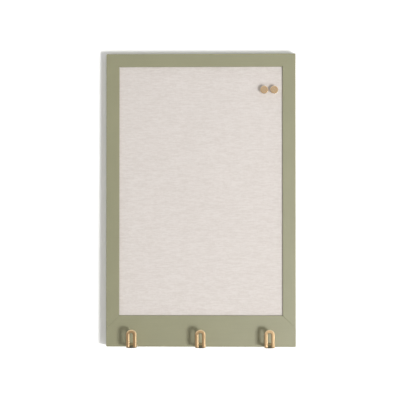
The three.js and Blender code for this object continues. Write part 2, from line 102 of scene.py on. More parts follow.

# Push pins. Heights are shares of the head's height over the linen, widths of its radius
PIN_FACE = 0.86  # the flat of the disc
PIN_RIM = 0.06  # radius of the disc's rounded rim, as a height
PIN_DISC = 0.8  # height of the disc's back
PIN_WAIST = (0.46, 0.44)  # height and width of the waist
PIN_FLARES = (0.5, 0.26)  # how far it widens from the waist, up to the disc and down to the base
PIN_BASE = 0.15  # height of the base's edge
PIN_FOOT = ((0.72, 0.1), (0.72, 0.05), (0.69, 0.0))  # widths and heights of the base's rim
PIN_STEPS = 12
NEEDLE_POINT = 2.2 * mm  # length of the ground point
NEEDLE_SHOULDER = 1.3 * mm  # down the point, where it is half as thick

# Fasteners and hangers
SHANK_RADIUS = 1.5 * mm
END_RADIUS = 0.7  # share of the shank's, at a blunt end
END_TAPER = 0.5 * mm  # length of a blunt end
POINT_TAPER = 3.0 * mm  # length of a point
TALL_HEAD = 2.75 * mm  # a head whose radius is larger is the taller kind
HEAD_HEIGHTS = (2.0 * mm, 1.6 * mm)
HEAD_CROWN = 0.62  # share of the head's radius, from where its top curves down
HEAD_ROUND = 0.55  # share of the head's height that is round
HEAD_STEPS = 6
SCREW_STEPS = 40
SCREW_TURN = (0.4, 0.9)  # radians: the first cross, and each further than the one before
RECESS_SLOT = 0.75 * mm
RECESS_REACH_SHARE = 0.62  # of the head's radius
RECESS_FLOOR = 0.35  # share of its reach, at its floor
RECESS_DEPTH = 1.3 * mm
CLEAR = 1.0 * mm  # how far a cutter reaches past what it cuts
STRAP_WIDTH = 7 * mm
STRAP_THICKNESS = 0.8 * mm
STRAP_LENGTH = 12 * mm
STRAP_STEPS = 8  # round its end
STRAP_TIP = 0.02  # share of its half width, at the end's middle
EYE_CURL = 1.1 * math.pi
EYE_STEPS = 20
RING_CORNER = 1.6 * mm
RING_BUTT = 0.6 * mm  # gap between the wire's ends, inside the eye
RING_STEPS = (6, 24)  # round a corner and round the loop
WIRE_STEPS = 16
POINT_SHOULDER = 0.44  # share of a point's half length
POINT_EASE = 0.12 * mm
BUMPER_SIDE = 0.2  # share of a bumper's height, below its dome
BUMPER_SEAT = (0.97, 0.1)  # shares of its radius and of its side, at the edge of its seat
BUMPER_STEPS = 10


# Shader helpers


def linear(code):
    """An sRGB hex value as the linear colour that a shader takes."""
    parts = [int(code[i : i + 2], 16) / 255 for i in (0, 2, 4)]
    return (*[c / 12.92 if c <= 0.04045 else ((c + 0.055) / 1.055) ** 2.4 for c in parts], 1.0)


def add(tree, kind, inputs=None, **settings):
    """Adds a node with its settings. An input is a value, or the output that feeds it."""
    made = tree.nodes.new(kind)
    for key, value in settings.items():
        setattr(made, key, value)
    for key, value in (inputs or {}).items():
        if isinstance(value, bpy.types.NodeSocket):
            tree.links.new(value, made.inputs[key])
        else:
            made.inputs[key].default_value = value
    return made


def empty_tree(owner):
    """The node tree of a material or a world, cleared."""
    owner.use_nodes = True
    owner.node_tree.nodes.clear()
    return owner.node_tree


def new_material(name, **constants):
    """A material with one principled shader, which constants set, and its tree and shader."""
    made = bpy.data.materials.new(name)
    tree = empty_tree(made)
    sockets = {key.replace("_", " "): value for key, value in constants.items()}
    shader = add(tree, "ShaderNodeBsdfPrincipled", sockets)
    add(tree, "ShaderNodeOutputMaterial", {"Surface": shader.outputs["BSDF"]})
    return made, tree, shader


def noise(tree, vector, w, detail):
    """Noise on this vector. w picks one of its patterns."""
    inputs = {"Vector": vector, "W": w, "Scale": 1.0, "Detail": detail}
    return add(tree, "ShaderNodeTexNoise", inputs, noise_dimensions="4D").outputs["Fac"]


def cells(tree, size, detail=2.0, w=0.0):
    """Noise on Object coordinates whose cells measure size, three lengths in metres."""
    place = add(tree, "ShaderNodeTexCoord").outputs["Object"]
    scaled = add(tree, "ShaderNodeMapping", {"Vector": place, "Scale": [1 / s for s in size]})
    return noise(tree, scaled.outputs["Vector"], w, detail)


def between(tree, factor, low, high, start=0.3, end=0.7):
    """A value that runs from low to high as factor runs from start to end."""
    ranged = {"Value": factor, "From Min": start, "From Max": end, "To Min": low, "To Max": high}
    return add(tree, "ShaderNodeMapRange", ranged, interpolation_type="SMOOTHSTEP").outputs["Result"]


def result(tree, operation, *values):
    """What a Math node makes of these values."""
    return add(tree, "ShaderNodeMath", dict(enumerate(values)), operation=operation).outputs[0]


def mixed(tree, factor, first, second):
    """The colour from first to second as factor runs from 0 to 1."""
    ends = {"Factor": factor, "A": first, "B": second}
    return add(tree, "ShaderNodeMix", ends, data_type="RGBA").outputs["Result"]


def tones(tree, factor, first, second):
    """The colour from one hex value to another as factor runs from 0 to 1."""
    return mixed(tree, factor, linear(first), linear(second))


def finished(tree, shader, colour, height=None, depth=0.0, strength=0.5):
    """Gives a shader its colour and, where there is a height, a relief of this depth."""
    tree.links.new(colour, shader.inputs["Base Color"])
    if height:
        bump = add(tree, "ShaderNodeBump", {"Height": height, "Distance": depth, "Strength": strength})
        tree.links.new(bump.outputs["Normal"], shader.inputs["Normal"])


# Materials


def sage_enamel(name, along):
    """Satin alkyd enamel on sanded wood, brushed on along the rail: soft sheen, faint brush marks and a
    slight unevenness of tone, with no grain showing through. along is the rail's axis, 0 or 2."""
    made, tree, shader = new_material(name, Roughness=0.46, Specular_IOR_Level=1.0, IOR=1.6)
    brush = [0.55 * mm] * 3
    brush[along] = 45 * mm
    cloud = cells(tree, [30 * mm] * 3, detail=3.0)
    marks = cells(tree, brush, detail=1.0, w=3.0)
    mottled = result(tree, "ADD", cloud, marks)
    tone = between(tree, mottled, 0.0, 1.0, 0.75, 1.25)
    skin = cells(tree, [1.6 * mm] * 3, detail=1.0, w=7.0)
    relief = result(tree, "ADD", skin, marks)
    finished(tree, shader, tones(tree, tone, "979674", "9b9a77"), relief, 0.012 * mm)
    return made


def natural_linen():
    """Half-bleached linen in plain weave: thick and thin yarns, with short slubs that run mostly along
    the weft. The real yarns lie about 0.5 mm apart, and are drawn twice as coarse so that they show."""
    made, tree, shader = new_material(
        "half_bleached_linen_plain_weave", Roughness=0.92, Specular_IOR_Level=0.25, Sheen_Weight=0.12
    )
    yarn = 1.0 * mm
    place = add(tree, "ShaderNodeTexCoord").outputs["Object"]
    wander = cells(tree, [9 * mm] * 3, detail=1.0, w=1.0)
    drift = result(tree, "MULTIPLY", wander, 1.2 * mm)
    strayed = add(tree, "ShaderNodeVectorMath", {0: place, 1: drift}, operation="ADD").outputs["Vector"]
    bands = {"Vector": strayed, "Scale": WAVE_PERIOD / yarn}
    warp = add(tree, "ShaderNodeTexWave", bands, bands_direction="X").outputs["Fac"]
    weft = add(tree, "ShaderNodeTexWave", bands, bands_direction="Z").outputs["Fac"]
    over = add(tree, "ShaderNodeTexChecker", {"Vector": strayed, "Scale": 1 / yarn}).outputs["Fac"]
    woven = add(tree, "ShaderNodeMix", {"Factor": over, "A": warp, "B": weft}).outputs["Result"]
    long_slubs = cells(tree, [13 * mm, 2.0 * mm, 2.0 * mm], detail=2.0, w=5.0)
    short_slubs = cells(tree, [5 * mm, 1.5 * mm, 1.5 * mm], detail=2.0, w=9.0)
    upright_slubs = cells(tree, [1.4 * mm, 1.4 * mm, 7 * mm], detail=1.0, w=2.0)
    slubs = result(tree, "ADD", long_slubs, short_slubs)
    slubs = result(tree, "MULTIPLY_ADD", upright_slubs, 0.3, slubs)
    streaks = between(tree, slubs, 0.0, 1.0, 0.72, 1.58)
    crossed = add(tree, "ShaderNodeMix", {"Factor": 0.75, "A": woven, "B": streaks}).outputs["Result"]
    relief = result(tree, "ADD", woven, slubs)
    finished(tree, shader, tones(tree, crossed, "e5dcd5", "f5eee9"), relief, 0.12 * mm)
    return made


def satin_brass(name, first, second, roughness, lacquer):
    """Brass plate with a satin finish under clear lacquer: soft bright edges and a fine even grain."""
    made, tree, shader = new_material(
        name, Metallic=1.0, Roughness=roughness, Coat_Weight=1.0, Coat_Roughness=lacquer
    )
    grain = cells(tree, [0.25 * mm] * 3, detail=2.0)
    cloud = cells(tree, [6 * mm] * 3, detail=2.0, w=4.0)
    finished(tree, shader, tones(tree, cloud, first, second), grain, 0.01 * mm, strength=0.35)
    return made, tree, shader


def hook_brass():
    """The hooks' brass, with painted shade: it turns dark brown on the web, low between the legs, where the
    legs shade it."""
    made, tree, shader = satin_brass("satin_lacquered_brass", "dbbd90", "e3c598", 0.33, 0.3)
    place = add(tree, "ShaderNodeTexCoord").outputs["Object"]
    sides = add(tree, "ShaderNodeSeparateXYZ", {"Vector": place}).outputs
    pitch = centre("hook_right").x - centre("hook_middle").x
    offset = result(tree, "PINGPONG", sides["X"], pitch / 2)
    slot = between(tree, offset, 1.0, 0.0, WEB_REACH, WEB_REACH + SHADE_EDGE)
    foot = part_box("hook_middle")[0].z
    low = between(tree, sides["Z"], 1.0, 0.0, *[foot + share * WEB_RISE[0] for share in SHADE_FADE])
    painted_shade = result(tree, "MULTIPLY", slot, low)
    brass_colour = shader.inputs["Base Color"].links[0].from_socket
    # painted shade: the web between the legs gets a dark brown base colour
    tree.links.new(mixed(tree, painted_shade, brass_colour, linear("493a22")), shader.inputs["Base Color"])
    return made


def zinc_plate():
    """Bright zinc plate on steel: cool grey, with faint clouds in its sheen."""
    made, tree, shader = new_material("bright_zinc_plate", Metallic=1.0)
    cloud = cells(tree, [1.8 * mm] * 3, detail=3.0)
    finished(tree, shader, tones(tree, cloud, "a9adb1", "c9ccce"))
    tree.links.new(between(tree, cloud, 0.28, 0.42), shader.inputs["Roughness"])
    return made


def needle_steel():
    """Drawn and polished steel wire."""
    made, tree, shader = new_material("polished_steel_wire", Metallic=1.0, Roughness=0.18)
    drawn = cells(tree, [0.12 * mm, 4 * mm, 0.12 * mm], detail=1.0)
    finished(tree, shader, tones(tree, drawn, "b4b6b8", "d2d3d4"))
    return made


def moulded_rubber():
    """Black moulded rubber, dull, with a fine bloom."""
    made, tree, shader = new_material("moulded_black_rubber", Roughness=0.72)
    bloom = cells(tree, [1.1 * mm] * 3, detail=3.0)
    finished(tree, shader, tones(tree, bloom, "242322", "33312f"), bloom, 0.02 * mm, strength=0.4)
    return made


def grey_chipboard():
    """Grey board pressed from waste paper: dull, with darker and paler fibres lying all ways."""
    made, tree, shader = new_material("grey_chipboard", Roughness=0.95, Specular_IOR_Level=0.2)
    level = cells(tree, [5 * mm, 1 * mm, 0.5 * mm], detail=3.0)
    upright = cells(tree, [0.5 * mm, 1 * mm, 5 * mm], detail=3.0, w=6.0)
    fibres = result(tree, "ADD", level, upright)
    tone = between(tree, fibres, 0.0, 1.0, 0.65, 1.35)
    finished(tree, shader, tones(tree, tone, "7f7b72", "9e9a90"), fibres, 0.05 * mm)
    return made


def soft_fibreboard():
    """Soft fibreboard that takes pins: felted tan wood fibre."""
    made, tree, shader = new_material("soft_fibreboard", Roughness=0.95, Specular_IOR_Level=0.2)
    felt = cells(tree, [2.5 * mm] * 3, detail=4.0)
    finished(tree, shader, tones(tree, felt, "a88d68", "c3a97f"))
    return made


# Mesh helpers


def centre(node):
    """The middle of a node's box."""
    low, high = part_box(node)
    return (low + high) / 2


def new_object(name, data):
    """A new object at the origin, with this data."""
    made = bpy.data.objects.new(name, data)
    scene.collection.objects.link(made)
    return made


def mesh_of(name, bm):
    """The mesh that bm holds. bm is freed."""
    made = bpy.data.meshes.new(name)
    bm.to_mesh(made)
    bm.free()
    return made


def new_piece(name, mesh, material, slot=None, replaced=()):
    """An object with this mesh and material, in the place of the nodes replaced."""
    made = new_object(name, mesh)
    mesh.materials.clear()
    mesh.materials.append(material)
    if slot:
        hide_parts(*replaced)
    return made


def smoothed(mesh, angle=35):
    """The mesh, smooth but for edges that turn by more than angle."""
    mesh.shade_smooth()
    mesh.set_sharp_from_angle(angle=math.radians(angle))
    return mesh


def mesh_from(name, points, faces, recalculate=True):
    """A mesh of these points and faces. Its faces are made to look outwards, unless told otherwise."""
    bm = bmesh.new()
    verts = [bm.verts.new(p) for p in points]
    for face in faces:
        bm.faces.new([verts[i] for i in face])
    if recalculate:
        bmesh.ops.recalc_face_normals(bm, faces=bm.faces)
    return mesh_of(name, bm)


def baked(made):
    """Turns an object with modifiers into one with a plain mesh."""
    bpy.context.view_layer.update()
    graph = bpy.context.evaluated_depsgraph_get()
    mesh = bpy.data.meshes.new_from_object(made.evaluated_get(graph))
    made.modifiers.clear()
    made.data = mesh
    return made


def cut(made, cutter, operation="DIFFERENCE"):
    """Cuts made by cutter, or joins them, and removes the cutter."""
    modifier = made.modifiers.new("cut", "BOOLEAN")
    modifier.operation = operation
    modifier.solver = "EXACT"
    modifier.object = cutter
    baked(made)
    bpy.data.objects.remove(cutter)
    return made


def skin(rings, capped=True):
    """Points and faces of a tube over rings that have as many points each."""
    count = len(rings[0])
    points = [p for ring in rings for p in ring]
    faces = []
    for row in range(len(rings) - 1):
        for i in range(count):
            a, b = row * count + i, row * count + (i + 1) % count
            faces.append((a, b, b + count, a + count))
    if capped:
        faces.append(tuple(range(count)))
        faces.append(tuple(range(len(points) - count, len(points))))
    return points, faces


def turned(name, profile, place, steps=48):
    """A form turned about an axis along Y through place. profile is (radius, along) from axis to axis."""
    points, faces = [], []
    (_, first), *body, (_, last) = profile
    for radius, along in body:
        for i in range(steps):
            angle = full_turn * i / steps
            offset = Vector((radius * math.cos(angle), along, radius * math.sin(angle)))
            points.append(place + offset)
    _, faces = skin([points[i : i + steps] for i in range(0, len(points), steps)], capped=False)
    start, end = len(points), len(points) + 1
    points += [place + Vector((0, first, 0)), place + Vector((0, last, 0))]
    tail = (len(body) - 1) * steps
    for i in range(steps):
        j = (i + 1) % steps
        faces.append((start, i, j))
        faces.append((end, tail + j, tail + i))
    return mesh_from(name, points, faces)


def arc(middle, radius, start, end, steps):
    """Points on an arc in a plane, from one angle to another, as (across, along)."""
    angles = [start + (end - start) * i / steps for i in range(steps + 1)]
    return [(middle[0] + radius * math.cos(a), middle[1] + radius * math.sin(a)) for a in angles]


# Geometry Nodes helpers


def new_tree(name, **sockets):
    """A geometry tree with its named inputs, and the node that gives them."""
    tree = bpy.data.node_groups.new(name, "GeometryNodeTree")
    tree.interface.new_socket("Geometry", in_out="OUTPUT", socket_type="NodeSocketGeometry")
    tree.interface.new_socket("Geometry", in_out="INPUT", socket_type="NodeSocketGeometry")
    for key, kind in sockets.items():
        label = key.replace("_", " ").capitalize()
        tree.interface.new_socket(label, in_out="INPUT", socket_type=f"NodeSocket{kind}")
    return tree, add(tree, "NodeGroupInput").outputs


def end_tree(tree, geometry, given):
    """Ends a tree: instances are made real, and the material is set."""
    real = add(tree, "GeometryNodeRealizeInstances", {"Geometry": geometry}).outputs["Geometry"]
    dressed = {"Geometry": real, "Material": given["Material"]}
    coloured = add(tree, "GeometryNodeSetMaterial", dressed).outputs["Geometry"]
    add(tree, "NodeGroupOutput", {"Geometry": coloured})
    return tree


def grown(name, tree, mesh, **values):
    """The plain mesh that a tree makes of mesh with these values."""
    made = new_object(name, mesh)
    modifier = made.modifiers.new("tree", "NODES")
    modifier.node_group = tree
    named = {key.replace("_", " ").capitalize(): value for key, value in values.items()}
    for item in tree.interface.items_tree:
        if item.in_out == "INPUT" and item.name in named:
            modifier[item.identifier] = named[item.name]
    baked(made)
    return made


def carried(tree, name):
    """The number that each point carries under this name."""
    node = add(tree, "GeometryNodeInputNamedAttribute", {"Name": name}, data_type="FLOAT")
    return node.outputs["Attribute"]


def copies_tree():
    """Copies of a piece at each point of a mesh, turned about Y by the point's own angle."""
    tree, given = new_tree("copies_of_a_piece", piece="Object", material="Material")
    piece = add(tree, "GeometryNodeObjectInfo", {"Object": given["Piece"]}).outputs["Geometry"]
    turn = add(tree, "ShaderNodeCombineXYZ", {"Y": carried(tree, "turn")}).outputs["Vector"]
    placed = {"Points": given["Geometry"], "Instance": piece, "Rotation": turn}
    copies = add(tree, "GeometryNodeInstanceOnPoints", placed).outputs["Instances"]
    return end_tree(tree, copies, given)


def copied(name, mesh, places, material, turns=None):
    """One mesh of copies of mesh, which lies about the origin, at these places."""
    seed = new_object(f"{name}_one", mesh)
    points = bpy.data.meshes.new(f"{name}_places")
    points.from_pydata([tuple(p) for p in places], [], [])
    turn = points.attributes.new("turn", "FLOAT", "POINT")
    turn.data.foreach_set("value", turns or [0.0] * len(places))
    made = grown(name, COPIES, points, piece=seed, material=material)
    bpy.data.objects.remove(seed)
    return made


def slub_tree():
    """Lifts the cloth's front by slubs: long soft ridges that run along the weft."""
    tree, given = new_tree(
        "linen_slubs", length="Float", width="Float", relief="Float", seed="Float", material="Material"
    )
    place = add(tree, "GeometryNodeInputPosition").outputs["Position"]
    size = add(
        tree, "ShaderNodeCombineXYZ", {"X": given["Length"], "Y": given["Width"], "Z": given["Width"]}
    ).outputs["Vector"]
    scaled = add(tree, "ShaderNodeVectorMath", {0: place, 1: size}, operation="DIVIDE").outputs["Vector"]
    lift = result(tree, "MULTIPLY", noise(tree, scaled, given["Seed"], detail=2.0), given["Relief"])
    inward = result(tree, "MULTIPLY", lift, carried(tree, "front"))
    offset = add(tree, "ShaderNodeCombineXYZ", {"Y": inward}).outputs["Vector"]
    moved = {"Geometry": given["Geometry"], "Offset": offset}
    relieved = add(tree, "GeometryNodeSetPosition", moved).outputs["Geometry"]
    return end_tree(tree, relieved, given)


COPIES = copies_tree()
SLUBS = slub_tree()

# Places that the frame gives
top_low, top_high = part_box("top_rail")
bottom_low, bottom_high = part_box("bottom_rail")
left_low, left_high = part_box("left_stile")
cloth_low, cloth_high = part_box("linen_cover")
FRONT = top_low.y
BACK = top_high.y
DEPTH = BACK - FRONT
TOP = top_high.z
BOTTOM = bottom_low.z
HALF = top_high.x
STILE = left_high.x - left_low.x
SILL = bottom_high.z - bottom_low.z
OPENING_BOTTOM = bottom_high.z
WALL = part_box("bumper_left")[1].y


# Frame


def section(face, kink=None):
    """A rail's outline as (inwards from its outer edge, forwards from its back), with the faces that cap
    an end. At kink its end turns from square to mitred."""
    shelf = DEPTH - LIP
    inner = face - REBATE
    if kink is None:
        outline = [(0, 0), (0, DEPTH), (face, DEPTH), (face, shelf), (inner, shelf), (inner, 0)]
        return outline, [tuple(range(len(outline)))]
    outline = [(0, 0), (0, DEPTH), (kink, DEPTH), (face, DEPTH)]
    outline += [(face, shelf), (inner, shelf), (inner, 0), (kink, 0)]
    return outline, [(0, 1, 2, 7), (2, 3, 4, 5, 6, 7)]


def pocket_cutter(nodes):
    """One mesh that is a little larger all round than these fasteners, and open at the board's back."""
    bm = bmesh.new()
    for node in nodes:
        part = bmesh.new()
        part.from_mesh(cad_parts[node].data)
        bmesh.ops.remove_doubles(part, verts=part.verts, dist=SAME_PLACE)
        part.normal_update()
        deepest = max(v.co.y for v in part.verts)
        for vert in part.verts:
            open_back = deepest - vert.co.y < SAME_LEVEL and "point" not in node
            vert.co += vert.normal * POCKET_GAP * vert.calc_shell_factor()
            if open_back:
                vert.co.y = BACK + LIP
        copy = mesh_of("pocket", part)
        bm.from_mesh(copy)
        bpy.data.meshes.remove(copy)
    return new_object("pockets", mesh_of("pockets", bm))


def rail(name, node, face, ends, place, eases, material, fasteners, kink=None):
    """One length of the moulding. ends give how far it reaches each way at a depth from its outer edge,
    place turns (along, inwards, forwards) into the row's frame, and eases are the mitres' two."""
    outline, caps = section(face, kink)
    bm = bmesh.new()
    rows = [[bm.verts.new(place(end(u), u, v)) for u, v in outline] for end in ends]
    weight = bm.edges.layers.float.new("bevel_weight_edge")
    for i in range(len(outline)):
        j = (i + 1) % len(outline)
        bm.faces.new([rows[0][i], rows[0][j], rows[1][j], rows[1][i]])
    for row, ease in zip(rows, eases):
        for cap in caps:
            bm.faces.new([row[i] for i in cap])
        for i in range(len(outline)):
            j = (i + 1) % len(outline)
            edge = bm.edges.get([row[i], row[j]])
            front_edge = outline[i][1] == DEPTH and outline[j][1] == DEPTH
            square_end = kink is not None and max(outline[i][0], outline[j][0]) <= kink
            if front_edge:
                edge[weight] = 1.0 if square_end else ease
            elif square_end and outline[i][0] == outline[j][0] == 0:
                edge[weight] = CORNER_EASE
    for i, (u, v) in enumerate(outline):
        edge = bm.edges.get([rows[0][i], rows[1][i]])
        if v == DEPTH and u in (0, face):
            edge[weight] = 1.0 if u == 0 else INNER_EDGE
        elif v == 0 and u == 0:
            edge[weight] = BACK_EASE
    bmesh.ops.recalc_face_normals(bm, faces=bm.faces)
    made = new_piece(name, mesh_of(name, bm), material, "frame_paint", [node])
    bevel = made.modifiers.new("edges", "BEVEL")
    bevel.limit_method = "WEIGHT"
    bevel.width = EDGE_RADIUS
    bevel.segments = EDGE_STEPS
    bevel.use_clamp_overlap = False
    baked(made)
    cut(made, pocket_cutter(fasteners))
    smoothed(made.data)
    made.modifiers.new("flats", "WEIGHTED_NORMAL").keep_sharp = True
    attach(made, "board")
    return made


def make_frame():
    """The four rails, each cut out for the fasteners that sit in it."""
    level = sage_enamel("sage_satin_enamel_brushed_level", 0)
    upright = sage_enamel("sage_satin_enamel_brushed_upright", 2)
    kink = SILL - STILE
    stile_foot = OPENING_BOTTOM - STILE

    def nails(*corners):
        return [f"corner_nail_{corner}_{i}" for corner in corners for i in (1, 2)]

    def points(side):
        return [f"backing_point_{side}_{i}" for i in (1, 2)]

    def mitre(side):
        return lambda u: side * (HALF - u)

    def sill_end(side):
        return lambda u: side * (HALF - max(0.0, u - kink))

    screws = [f"hook_screw_{name}" for name in HOOK_NAMES]
    rail(
        "top_rail_painted", "top_rail", STILE, [mitre(-1), mitre(1)],
        lambda along, u, v: Vector((along, BACK - v, TOP - u)),
        [MITRE_EASE["top"]] * 2, level,
        [*nails("top_left", "top_right"), *points("top")],
    )
    rail(
        "bottom_rail_painted", "bottom_rail", SILL, [sill_end(-1), sill_end(1)],
        lambda along, u, v: Vector((along, BACK - v, BOTTOM + u)),
        [MITRE_EASE["bottom_left"], MITRE_EASE["bottom_right"]], level,
        [*nails("bottom_left", "bottom_right"), *points("bottom"), *screws],
        kink,
    )
    for side, name in ((-1, "left"), (1, "right")):
        rail(
            f"{name}_stile_painted", f"{name}_stile", STILE,
            [lambda u: stile_foot + u, lambda u: TOP - u],
            lambda along, u, v, side=side: Vector((side * (HALF - u), BACK - v, along)),
            [MITRE_EASE[f"bottom_{name}"], MITRE_EASE["top"]], upright,
            [*nails(f"top_{name}", f"bottom_{name}"), *points(name), f"hanger_screw_{name}"],
        )


# Linen


def make_linen():
    """The cloth as one skin: its front, folded over the core's edges, with hems on the core's back."""
    material = natural_linen()
    low, high = cloth_low, cloth_high
    middle = (low + high) / 2
    half_x, half_z = (high.x - low.x) / 2, (high.z - low.z) / 2
    flat_x, flat_z = half_x - FOLD_RADIUS, half_z - FOLD_RADIUS
    across = round(2 * flat_x / GRID_ACROSS)
    upward = round(2 * flat_z / GRID_UP)
    columns = [-flat_x + 2 * flat_x * i / across for i in range(across + 1)]
    rows = [-flat_z + 2 * flat_z * i / upward for i in range(upward + 1)]
    index, points, fronts = {}, [], []

    def put(key, x, y, z, front):
        index[key] = len(points)
        points.append((middle.x + x, y, middle.z + z))
        fronts.append(front)

    for j, z in enumerate(rows):
        for i, x in enumerate(columns):
            put((i, j), x, low.y, z, 1.0)
    faces = [
        (index[i, j], index[i + 1, j], index[i + 1, j + 1], index[i, j + 1])
        for j in range(upward)
        for i in range(across)
    ]
    edge = [(i, 0) for i in range(across)]
    edge += [(across, j) for j in range(upward)]
    edge += [(i, upward) for i in range(across, 0, -1)]
    edge += [(0, j) for j in range(upward, 0, -1)]
    fold = arc((0, 0), FOLD_RADIUS, -quarter_turn, 0, FOLD_STEPS)[1:]
    path = [(out, low.y + FOLD_RADIUS + along) for out, along in fold]
    turn_back = arc((0, 0), FOLD_RADIUS, 0, quarter_turn, FOLD_STEPS)
    path += [(out, high.y - FOLD_RADIUS + along) for out, along in turn_back]
    path.append((FOLD_RADIUS - HEM, high.y))
    previous = [index[key] for key in edge]
    for step, (out, y) in enumerate(path):
        ring = []
        for i, j in edge:
            x = columns[i] * (flat_x + out) / flat_x
            z = rows[j] * (flat_z + out) / flat_z
            put(("fold", step, i, j), x, y, z, 0.0)
            ring.append(index["fold", step, i, j])
        count = len(ring)
        faces += [
            (previous[(k + 1) % count], previous[k], ring[k], ring[(k + 1) % count])
            for k in range(count)
        ]
        previous = ring
    mesh = mesh_from("linen_cut", points, faces, recalculate=False)
    front = mesh.attributes.new("front", "FLOAT", "POINT")
    front.data.foreach_set("value", fronts)
    made = grown(
        "linen_cloth", SLUBS, mesh, length=SLUB_LENGTH, width=SLUB_WIDTH, relief=SLUB_RELIEF, seed=2.0,
        material=material,
    )
    smoothed(made.data, angle=60)
    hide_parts("linen_cover")
    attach(made, "board")
    thickness = made.modifiers.new("cloth", "SOLIDIFY")
    thickness.thickness = CLOTH
    thickness.offset = -1.0


# Hooks

SIDES = ("left", "right")
HOOK_NAMES = ("left", "middle", "right")


def hook_bar():
    """The legs, the arch over them and the feet that run back to the rail, as one mesh. A flat facet runs
    round its front, and its edges at the back are cut back flat."""
    low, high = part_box("hook_middle")
    front, leg_back = low.y, low.y + BAR
    foot_top = low.z + FOOT
    spring = high.z - ARCH_LOW - ARCH_RISE

    def outline(inset):
        """The outline in the hook's plane, drawn in from its edges."""
        outer = (high.x - low.x) / 2 - inset
        inner = (high.x - low.x) / 2 - BAR + inset
        bottom = low.z + inset
        top, rise = ARCH_RISE - inset, ARCH_RISE - CROWN + CROWN_FACET * inset
        over = [(outer * x, spring + top * z) for x, z in arc((0, 0), 1, 0, math.pi, ARCH_STEPS)]
        under = [(inner * x, spring + rise * z) for x, z in arc((0, 0), 1, math.pi, 0, ARCH_STEPS)]
        legs = [(outer, bottom), (outer, foot_top), *over, (-outer, foot_top), (-outer, bottom)]
        return legs + [(-inner, bottom), (-inner, foot_top), *under, (inner, foot_top), (inner, bottom)]

    left = ARCH_STEPS + 3  # where the outline comes down the left leg
    feet = [(0, 1, -2, -1), (left + 2, left + 3, left, left + 1)]
    bm = bmesh.new()
    inset, depth = FACET
    ahead = [bm.verts.new((x, front, z)) for x, z in outline(inset)]
    shoulder = [bm.verts.new((x, front + depth, z)) for x, z in outline(0)]
    behind = [bm.verts.new((x, leg_back, z)) for x, z in outline(0)]
    bm.faces.new(ahead)
    bm.faces.new(behind[1 : left + 1] + behind[left + 3 : -1])
    for near, far in ((ahead, shoulder), (shoulder, behind)):
        for i in range(len(near)):
            bm.faces.new([near[i - 1], near[i], far[i], far[i - 1]])
    ends = []
    for corners in feet:
        near = [behind[i] for i in corners]
        far = [bm.verts.new((v.co.x, FRONT, v.co.z)) for v in near]
        for i in range(4):
            bm.faces.new([near[i - 1], near[i], far[i], far[i - 1]])
        ends += bm.faces.new(far).edges
    bmesh.ops.recalc_face_normals(bm, faces=bm.faces)
    weight = bm.edges.layers.float.new("bevel_weight_edge")
    for edge in bm.edges:
        turns = edge.calc_face_angle(0) > math.radians(CUT_ANGLE)
        at_back = min(v.co.y for v in edge.verts) > front + depth
        edge[weight] = 1.0 if turns and at_back and edge not in ends else 0.0
    made = new_object("hook_bar", mesh_of("hook_bar", bm))
    bevel = made.modifiers.new("edges", "BEVEL")
    bevel.limit_method = "WEIGHT"
    bevel.width = BAR_EDGE
    bevel.segments = 1
    eased = made.modifiers.new("eased", "BEVEL")
    eased.limit_method = "ANGLE"
    eased.angle_limit = math.radians(EASE_ANGLE)
    eased.width = BAR_EASE
    eased.segments = 2
    return baked(made)


def hook_web():
    """The web that joins the feet. Its top is level over the screw, and then runs down to the front."""
    low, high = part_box("hook_middle")
    half = (high.x - low.x - BAR) / 2
    front = low.y + WEB_INSET
    over_screw, ahead = [low.z + rise for rise in WEB_RISE]
    bottom = low.z - WEB_BOTTOM
    side = [(FRONT, bottom), (FRONT, over_screw), (FRONT - WEB_BOSS, over_screw)]
    side += [(front, ahead), (front + WEB_SLOPE, bottom)]
    rings = [[Vector((x, y, z)) for y, z in side] for x in (-half, half)]
    bm = bmesh.new()
    bm.from_mesh(mesh_from("web", *skin(rings)))
    nose = [
        e for e in bm.edges
        if e.verts[0].co.x * e.verts[1].co.x < 0 and max(v.co.y for v in e.verts) < FRONT - BAR
    ]
    bmesh.ops.bevel(bm, geom=nose, offset=WEB_EDGE, segments=3, profile=0.5, affect="EDGES")
    return new_object("hook_web", mesh_of("hook_web", bm))


def make_hooks():
    """The three hooks, as one piece."""
    material = hook_brass()
    bar = cut(hook_bar(), hook_web(), "UNION")
    places = [Vector((centre(f"hook_{name}").x, 0, 0)) for name in HOOK_NAMES]
    made = copied("arch_hooks", bar.data, places, material)
    bpy.data.objects.remove(bar)
    smoothed(made.data)
    made.modifiers.new("flats", "WEIGHTED_NORMAL").keep_sharp = True
    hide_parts(*[f"hook_{name}" for name in HOOK_NAMES])
    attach(made, "board")


# Push pins


def pin_profile(radius, height):
    """The turned head: a flat disc with a rounded rim, a drawn-in waist and a flared base."""
    rim = PIN_RIM * height
    disc_back = PIN_DISC * height
    waist, base = PIN_WAIST[0] * height, PIN_BASE * height
    profile = [(0, -height), (radius * PIN_FACE, -height)]
    profile += arc((radius - rim, rim - height), rim, -quarter_turn, 0, 6)
    profile += arc((radius - rim, -disc_back - rim), rim, 0, quarter_turn, 4)
    for k in range(1, PIN_STEPS + 1):
        above = disc_back + (base - disc_back) * k / PIN_STEPS
        over_waist = above > waist
        flare = PIN_FLARES[0] if over_waist else PIN_FLARES[1]
        span = disc_back - waist if over_waist else waist - base
        profile.append((radius * (PIN_WAIST[1] + flare * ((above - waist) / span) ** 2), -above))
    profile += [(radius * width, -up * height) for width, up in PIN_FOOT]
    return [*profile, (0, 0)]


